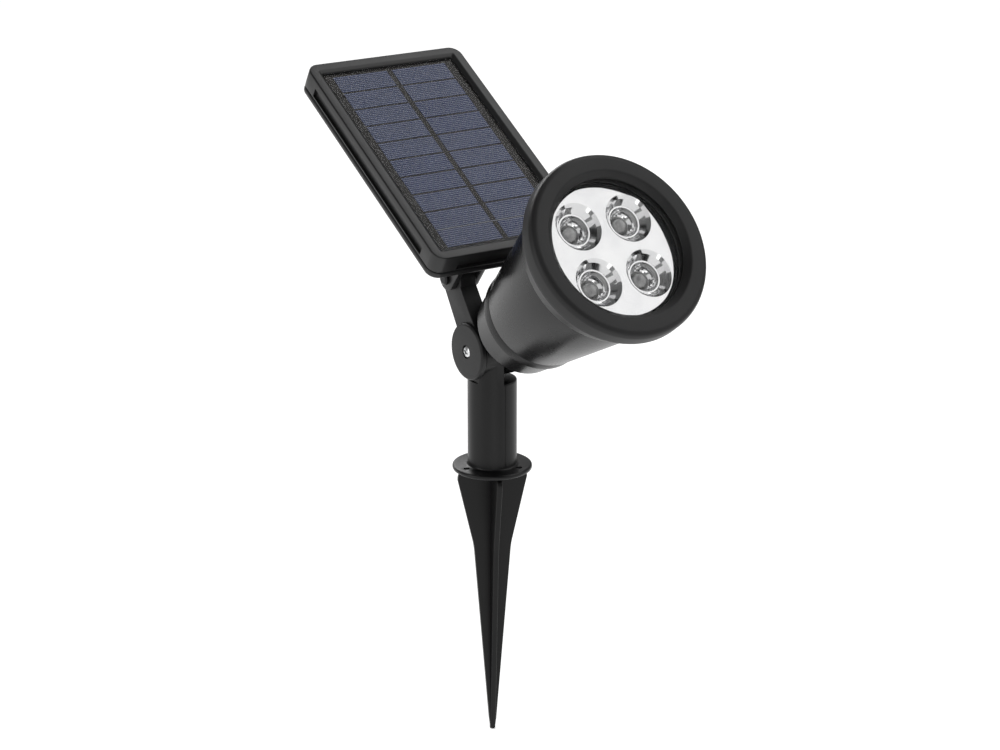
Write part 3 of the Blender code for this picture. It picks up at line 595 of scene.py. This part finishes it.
def make_arm():
    """Disc, leaning bar and eye, with softened edges."""
    eye = (PANEL_HINGE.y, PANEL_HINGE.z)
    points = [(4.1 * MM, PIVOT_Z - 2.9 * MM), (23.2 * MM, PIVOT_Z + 27.0 * MM)]
    points += arc(eye, EYE_RADIUS, 0.0, 180.0, 24)
    points += [(8.1 * MM, PIVOT_Z + 29.9 * MM), (-9.3 * MM, PIVOT_Z + 6.5 * MM)]
    bar = side_slab("bar", points, BAR_LEFT, BAR_RIGHT, 0.6 * MM)
    clearance = disc("clearance", BARREL_RADIUS + 0.6 * MM, DISC_RIGHT - 0.3 * MM, 0.0, 0.0)
    bar = cut(bar, along_x(clearance, z=PIVOT_Z))
    plate = along_x(turned("plate", [
        (0.0, DISC_RIGHT),
        (DISC_RADIUS, DISC_RIGHT),
        (DISC_RADIUS, DISC_LEFT + 0.8 * MM),
        (DISC_RADIUS - 0.8 * MM, DISC_LEFT),
        (0.0, DISC_LEFT),
    ], 0.35 * MM), z=PIVOT_Z)
    arm = join(bar, plate)
    arm = cut(
        arm,
        along_x(disc("bore", BORE_RADIUS, -0.02, 0.0, 0.0, 48), z=PIVOT_Z),
        along_x(disc("seat", 3.3 * MM, -0.02, DISC_LEFT + 1.8 * MM, 0.0, 48), z=PIVOT_Z),
        along_x(disc("eye_bore", 2.05 * MM, -0.02, 0.0, 0.0, 48), *eye),
    )
    finish_piece(arm, "panel_arm_body", ARM_BLACK, "arm", nodes=("panel_arm",))


# ---------------------------------------------------------------- lamp


def make_housing():
    """Tapered housing with its spigot and the ledge for the LED board."""
    housing = turned("housing", [
        (36.0 * MM, 114.5 * MM),
        (36.0 * MM, 100.6 * MM),
        (38.3 * MM, 100.6 * MM),
        (27.0 * MM, HOUSING_REAR),
        (24.6 * MM, HOUSING_REAR),
        (24.6 * MM, 46.9 * MM),
        (26.0 * MM, 46.9 * MM),
        (35.0 * MM, 94.0 * MM),
        (28.6 * MM, 97.8 * MM),
        (28.6 * MM, 101.8 * MM),
        (33.4 * MM, 101.8 * MM),
        (33.4 * MM, 114.5 * MM),
    ], 0.35 * MM, 160)
    nodes = ("lamp_housing",)
    finish_piece(housing, "housing_shell", LAMP_BLACK, "lamp", LAMP, nodes)


def make_bezel():
    """Bezel ring: soft flat face, bevelled mouth, groove and flare on its side."""
    bezel = turned("bezel", [
        (LENS_RADIUS + 0.4 * MM, LAMP_FRONT),
        (BEZEL_RADIUS - 2.8 * MM, LAMP_FRONT),
        (BEZEL_RADIUS - 0.8 * MM, LAMP_FRONT - 0.9 * MM),
        (BEZEL_RADIUS, LAMP_FRONT - 2.8 * MM),
        (BEZEL_RADIUS, 113.4 * MM),
        (BEZEL_RADIUS - 0.7 * MM, 112.9 * MM),
        (BEZEL_RADIUS - 0.7 * MM, 111.9 * MM),
        (39.3 * MM, BEZEL_REAR + 0.8 * MM),
        (38.8 * MM, BEZEL_REAR),
        (LENS_RADIUS + 0.3 * MM, BEZEL_REAR),
        (LENS_RADIUS + 0.3 * MM, 119.0 * MM),
        (33.4 * MM, 119.0 * MM),
        (33.4 * MM, 119.6 * MM),
    ], 0.7 * MM, 192)
    nodes = ("bezel_ring",)
    finish_piece(bezel, "bezel_body", BEZEL_BLACK, "lamp", LAMP, nodes, 50.0)
    lens = disc("lens", LENS_RADIUS, 116.1 * MM, 118.7 * MM, 0.5 * MM, 160)
    finish_piece(lens, "lens_disc", LENS_CLEAR, "lamp", LAMP, ("front_lens",))


def cup_centres():
    """The four cup centres."""
    return [(x * CUP_OFFSET, y * CUP_OFFSET) for y in (1, -1) for x in (-1, 1)]


def make_reflector():
    """Bright plate with four stepped cups."""
    floor = BOARD_FRONT + 0.3 * MM
    step = PLATE_FRONT - 4.4 * MM
    mouth = PLATE_FRONT + 0.1 * MM
    plate = disc("plate", 32.3 * MM, PLATE_FRONT - 1.4 * MM, PLATE_FRONT, 0.3 * MM, 160)
    shells = []
    hollows = []
    for centre in cup_centres():
        shells.append(turned("shell", [
            (0.0, PLATE_FRONT - 0.7 * MM),
            (CUP_RADIUS + 0.9 * MM, PLATE_FRONT - 0.7 * MM),
            (8.6 * MM, step - 0.8 * MM),
            (6.0 * MM, floor),
            (0.0, floor),
        ], 0.0, 96, centre))
        wall = [(CUP_RADIUS, mouth), (10.2 * MM, PLATE_FRONT - 1.5 * MM), (8.0 * MM, step)]
        bowl = arc((0.0, step), 1.0, 0.0, -75.0, 9)
        bowl = [(7.2 * MM * x, step + 6.0 * MM * (z - step)) for x, z in bowl]
        collar = LED_RADIUS + 0.15 * MM
        foot = [(collar, floor + 0.6 * MM), (collar, floor - 0.3 * MM)]
        hollow = [(0.0, mouth)] + wall
        hollow += [point for point in bowl if point[0] > LED_RADIUS + 0.4 * MM]
        hollow += foot + [(0.0, floor - 0.3 * MM)]
        hollows.append(turned("hollow", hollow, 0.12 * MM, 96, centre))
    plate = join(plate, *shells)
    plate = cut(plate, *hollows)
    finish_piece(plate, "reflector_plate", BRIGHT, "lamp", LAMP, ("reflector",), 25.0)


def make_leds():
    """Domed LEDs with a small collar at the foot."""
    centre = BOARD_FRONT + 2.0 * MM
    radius = LED_RADIUS
    foot = BOARD_FRONT + 0.3 * MM
    for number, at in enumerate(cup_centres(), start=1):
        profile = [(0.0, centre + radius)]
        for degrees in range(6, 90, 6):
            angle = math.radians(degrees)
            profile.append((radius * math.sin(angle), centre + radius * math.cos(angle)))
        profile += [(radius, centre), (radius, foot), (0.0, foot)]
        led = turned("led", profile, 0.0, 64, at)
        finish_piece(led, f"led_dome_{number}", LED, "lamp", LAMP, (f"led_{number}",))


def make_cap():
    """Stepped rear cap, its ear and the nut pocket."""
    cap = turned("cap", [
        (0.0, CAP_REAR + 2.4 * MM),
        (19.0 * MM, CAP_REAR + 2.4 * MM),
        (20.6 * MM, 21.0 * MM),
        (22.0 * MM, 34.0 * MM),
        (22.0 * MM, 46.4 * MM),
        (24.3 * MM, 46.4 * MM),
        (24.3 * MM, 45.0 * MM),
        (23.0 * MM, 45.0 * MM),
        (23.0 * MM, 42.6 * MM),
        (24.3 * MM, 42.6 * MM),
        (24.3 * MM, HOUSING_REAR - 0.3 * MM),
        (26.7 * MM, HOUSING_REAR - 0.3 * MM),
        (26.4 * MM, 35.0 * MM),
        (25.4 * MM, 34.4 * MM),
        (22.6 * MM, 19.6 * MM),
        (21.2 * MM, 17.2 * MM),
        (19.2 * MM, CAP_REAR),
        (0.0, CAP_REAR),
    ], 0.45 * MM, 144)
    half = 5.5 * MM
    radius = 14.0 * MM
    points = [(radius, CAP_REAR + 1.2 * MM), (-radius, CAP_REAR + 1.2 * MM)]
    points += arc((0.0, 0.0), radius, 180.0, 360.0, 40)
    cap = join(cap, side_slab("ear", points, -half, half, 0.6 * MM))
    button = (13.0 * MM, 5.0 * MM)
    gland = (12.5 * MM, -9.0 * MM)
    cap = cut(
        cap,
        along_x(disc("bore", BORE_RADIUS, -0.01, 0.01, 0.0, 48)),
        along_x(disc("pocket", 4.35 * MM, half - 3.4 * MM, 0.01, 0.0, 6)),
        disc("button_hole", 4.3 * MM, 0.010, 0.022, 0.0, 48, button),
        disc("gland_hole", 2.4 * MM, 0.010, 0.022, 0.0, 32, gland),
    )
    finish_piece(cap, "rear_cap_body", LAMP_BLACK, "lamp", LAMP, ("rear_cap",), 40.0)
    inside = CAP_REAR + 2.7 * MM
    knob = turned("knob", [
        (0.0, inside + 1.2 * MM),
        (5.2 * MM, inside + 1.2 * MM),
        (5.2 * MM, inside),
        (4.0 * MM, inside),
        (4.0 * MM, 14.6 * MM),
        (2.6 * MM, 14.6 * MM),
        (2.2 * MM, 15.0 * MM),
        (0.0, 15.0 * MM),
    ], 0.4 * MM, 64, button)
    finish_piece(knob, "switch_button_cap", RUBBER, "button", LAMP, ("switch_button",))


# ---------------------------------------------------------------- panel


def make_panel_frame():
    """Front casing: soft edges, bevelled window and a long groove in each side."""
    section = [
        (0.0, PANEL_SEAM + 0.3 * MM),
        (0.0, PANEL_FACE),
        (4.8 * MM, PANEL_FACE),
        (6.4 * MM, LAMINATE_TOP + 0.2 * MM),
        (6.4 * MM, 27.0 * MM),
        (9.0 * MM, 27.0 * MM),
        (9.0 * MM, 25.6 * MM),
        (3.4 * MM, 25.6 * MM),
        (3.4 * MM, PANEL_SEAM + 0.3 * MM),
    ]
    casing = swept("casing", fillet(section, 0.7 * MM, 4), True)
    left = PANEL_X - PANEL_WIDTH / 2
    right = PANEL_X + PANEL_WIDTH / 2
    end = 13.0 * MM
    depth = 1.5 * MM
    low, high = 21.6 * MM, 26.4 * MM
    grooves = []
    for x in (left, right):
        start = (x - depth, PANEL_LOW + end, low)
        grooves.append(block("groove", start, (x + depth, PANEL_HIGH - end, high)))
    for y in (PANEL_LOW, PANEL_HIGH):
        start = (left + end, y - depth, low)
        grooves.append(block("groove", start, (right - end, y + depth, high)))
    casing = cut(casing, *grooves)
    nodes = ("panel_frame",)
    finish_piece(casing, "panel_casing", PANEL_BLACK, "panel", PANEL, nodes)


def make_panel_back():
    """Rear tray with the clevis ears and gussets."""
    section = [
        (12.0 * MM, PANEL_BACK),
        (0.0, PANEL_BACK),
        (0.0, PANEL_SEAM),
        (3.4 * MM, PANEL_SEAM),
        (3.4 * MM, PANEL_BACK + 2.0 * MM),
        (12.0 * MM, PANEL_BACK + 2.0 * MM),
    ]
    tray = swept("tray", fillet(section, 1.4 * MM, 5, False), False)
    root = PANEL_BACK + MM
    ear = [(9.5 * MM, root), (-8.5 * MM, root)] + arc((0.0, 0.0), 6.0 * MM, 180.0, 360.0, 24)
    ear = fillet(ear, 0.05 * MM, 1)
    plate = 2.9 * MM
    gap = 0.3 * MM
    left_ear = BAR_LEFT - gap - plate
    right_ear = BAR_RIGHT + gap
    added = []
    removed = []
    for start in (left_ear, right_ear):
        added.append(side_slab("ear", ear, start, start + plate, 0.35 * MM))
        bore = disc("ear_bore", 2.05 * MM, start - gap, start + plate + gap, 0.0, 48)
        removed.append(along_x(bore))
    for start, reach in ((left_ear + MM, -3.6 * MM), (right_ear + plate - MM, 13.5 * MM)):
        corners = [(start, 7.0 * MM), (start, root), (start + reach, root)]
        web = slab("web", corners, -1.3 * MM, 1.3 * MM, 0.25 * MM)
        web.data.transform(Matrix.Rotation(math.pi / 2, 4, "X"))
        added.append(web)
    inset = 9.5 * MM
    half = PANEL_WIDTH / 2 - inset
    for x in (-half, half):
        for y in (PANEL_LOW + inset, PANEL_HIGH - inset):
            at = (PANEL_X + x, y)
            added.append(disc("boss", 4.6 * MM, root, PANEL_SEAM, 0.2 * MM, 48, at))
            seat = PANEL_BACK + 1.6 * MM
            removed.append(disc("head_seat", 3.1 * MM, PANEL_BACK - gap, seat, 0.0, 48, at))
            removed.append(disc("screw_way", 1.5 * MM, PANEL_BACK, PANEL_SEAM + gap, 0.0, 32, at))
    removed.append(disc("gland_hole", 2.4 * MM, 15 * MM, 20 * MM, 0.0, 32, (26.0 * MM, 8.0 * MM)))
    tray = join(tray, *added)
    tray = cut(tray, *removed)
    finish_piece(tray, "panel_tray", PANEL_BLACK, "panel", PANEL, ("panel_back",))


def merged(name, parts):
    """Several small solids as one mesh."""
    work = bmesh.new()
    for part in parts:
        work.from_mesh(part.data)
        bpy.data.objects.remove(part, do_unlink=True)
    mesh = bpy.data.meshes.new(name)
    work.to_mesh(mesh)
    work.free()
    return fresh(name, mesh)


def make_cells():
    """Backing sheet, two columns of cells, their fingers and the ribbon."""
    inset = 6.7 * MM
    backing_top = 27.85 * MM
    backing = swept("backing", [(inset, 27.2 * MM), (inset, backing_top)], False)
    finish_piece(backing, "cell_backing_sheet", BACKING, "panel", PANEL, ("solar_cells",))
    field_width = 65.0 * MM
    field_low = -6.2 * MM
    field_length = 124.5 * MM
    middle_gap = 2.9 * MM
    row_gap = 1.0 * MM
    pitch = field_length / CELL_ROWS
    cell_width = (field_width - middle_gap) / 2
    cell_top = backing_top + 0.10 * MM
    finger_top = cell_top + 0.05 * MM
    centre = PANEL_X
    light, dark, fingers = [], [], []
    for column in range(2):
        left = centre - field_width / 2 + column * (cell_width + middle_gap)
        for row in range(CELL_ROWS):
            low = field_low + row * pitch + row_gap / 2
            high = low + pitch - row_gap
            cell = block("cell", (left, low, backing_top), (left + cell_width, high, cell_top))
            (dark if (3 * row + 5 * column) % 7 in (2, 5) else light).append(cell)
            count = 9
            for line in range(count):
                y = low + (line + 0.5) * (high - low) / count
                size = 0.16 * MM
                fingers.append(block("finger", (left + 0.3 * MM, y - size, cell_top),
                                     (left + cell_width - 0.3 * MM, y + size, finger_top)))
    link_y = field_low + pitch
    link = block("link", (centre - field_width / 2, link_y - 0.16 * MM, cell_top),
                 (centre + field_width / 2, link_y + 0.16 * MM, finger_top))
    finish_piece(link, "cell_link", LINK, "panel", PANEL)
    finish_piece(merged("cells_light", light), "cells_light", CELL_LIGHT, "panel", PANEL)
    finish_piece(merged("cells_dark", dark), "cells_dark", CELL_DARK, "panel", PANEL)
    finish_piece(merged("fingers", fingers), "cell_fingers", SILVER, "panel", PANEL)


# ---------------------------------------------------------------- stage


def make_stage():
    """Pale floor, soft studio light and the camera."""
    floor = block("floor", (-3.0, -3.0, SPIKE_TIP - 0.02), (3.0, 3.0, SPIKE_TIP - 0.001))
    material, tree, shader = new_material("floor_paper")
    shader.inputs["Base Color"].default_value = (0.30, 0.30, 0.30, 1.0)
    shader.inputs["Roughness"].default_value = 0.9
    shader.inputs["Emission Color"].default_value = (1.0, 1.0, 1.0, 1.0)
    shader.inputs["Emission Strength"].default_value = 0.93
    floor.data.materials.append(material)
    make_world()
    softbox("lens_light", (0.86, -0.80, 1.20), (0.0, -0.09, 0.13), (2.0, 1.6), 12.5)
    softbox("left_light", (-1.3, 0.1, 0.45), (0.0, -0.05, 0.10), (0.35, 0.9), 3.2)
    softbox("front_light", (-1.5, -1.0, 0.9), (0.0, -0.05, 0.10), (1.3, 1.2), 3.4)
    softbox("low_light", (-0.55, -1.3, -0.05), (0.0, -0.05, 0.10), (0.7, 0.16), 0.55)
    softbox("sky_light", (0.75, 0.35, 1.35), (0.0, 0.05, 0.14), (0.7, 0.5), 2.4)
    softbox("back_light", (0.2, 1.4, 0.8), (0.0, 0.0, 0.1), (1.2, 0.5), 9.0)
    camera = bpy.data.objects.new("camera", bpy.data.cameras.new("camera"))
    bpy.context.scene.collection.objects.link(camera)
    camera.location = (-0.6977, -1.0809, 0.4720)
    camera.rotation_euler = (math.radians(90.0 - 18.26), 0.0, math.radians(-33.01))
    camera.data.lens = 100.8
    camera.data.sensor_width = 36.0
    bpy.context.scene.camera = camera
    bpy.context.scene.view_settings.view_transform = "Standard"


def make_world():
    """White to the camera, a dim room with a brighter ceiling to everything else."""
    world = bpy.data.worlds.new("studio")
    world.use_nodes = True
    tree = world.node_tree
    room = tree.nodes["Background"]
    place = tree.nodes.new("ShaderNodeTexCoord")
    split = tree.nodes.new("ShaderNodeSeparateXYZ")
    tree.links.new(place.outputs["Generated"], split.inputs["Vector"])
    shade = tree.nodes.new("ShaderNodeValToRGB")
    shade.color_ramp.elements[0].position = 0.0
    shade.color_ramp.elements[0].color = (0.30, 0.30, 0.30, 1.0)
    shade.color_ramp.elements[1].position = 1.0
    shade.color_ramp.elements[1].color = (0.10, 0.10, 0.10, 1.0)
    tree.links.new(split.outputs["Z"], shade.inputs["Fac"])
    tree.links.new(shade.outputs["Color"], room.inputs["Color"])
    seen = tree.nodes.new("ShaderNodeBackground")
    seen.inputs["Color"].default_value = (1.0, 1.0, 1.0, 1.0)
    rays = tree.nodes.new("ShaderNodeLightPath")
    choose = tree.nodes.new("ShaderNodeMixShader")
    tree.links.new(rays.outputs["Is Camera Ray"], choose.inputs["Fac"])
    tree.links.new(room.outputs["Background"], choose.inputs[1])
    tree.links.new(seen.outputs["Background"], choose.inputs[2])
    tree.links.new(choose.outputs["Shader"], tree.nodes["World Output"].inputs["Surface"])
    bpy.context.scene.world = world


def softbox(name, place, target, size, power):
    """A rectangular soft light aimed at a point."""
    data = bpy.data.lights.new(name, "AREA")
    data.shape = "RECTANGLE"
    data.size, data.size_y = size
    data.energy = power
    item = bpy.data.objects.new(name, data)
    bpy.context.scene.collection.objects.link(item)
    item.location = place
    aim = Vector(target) - Vector(place)
    item.rotation_euler = aim.to_track_quat("-Z", "Y").to_euler()


NODE_LOOKS = {
    "arm_washer": RUBBER,
    "lamp_washer": RUBBER,
    "lens_seal": RUBBER,
    "cap_seal": RUBBER,
    "lamp_gland": RUBBER,
    "panel_gland": RUBBER,
    "driver_chip": RUBBER,
    "driver_coil": RUBBER,
    "hinge_screw": BLACK_ZINC,
    "hinge_nut": BLACK_ZINC,
    "clear_face": FACE_CLEAR,
    "led_board": WHITE_BOARD,
    "driver_board": GREEN_BOARD,
    "panel_board": GREEN_BOARD,
    "battery": WRAP,
    "battery_holder": PANEL_BLACK,
    "power_switch": PANEL_BLACK,
}


def dress_nodes():
    """Materials for the CAD nodes that stay as they are."""
    for name, node in frame["nodes"].items():
        look = NODE_LOOKS.get(name, STEEL)
        node.data.materials.clear()
        node.data.materials.append(look)
        node.data.shade_smooth()
        node.data.set_sharp_from_angle(angle=math.radians(35))


make_stage()
dress_nodes()
make_spike()
make_post()
make_pivot_screw()
make_arm()
make_housing()
make_bezel()
make_reflector()
make_leds()
make_cap()
make_panel_frame()
make_panel_back()
make_cells()
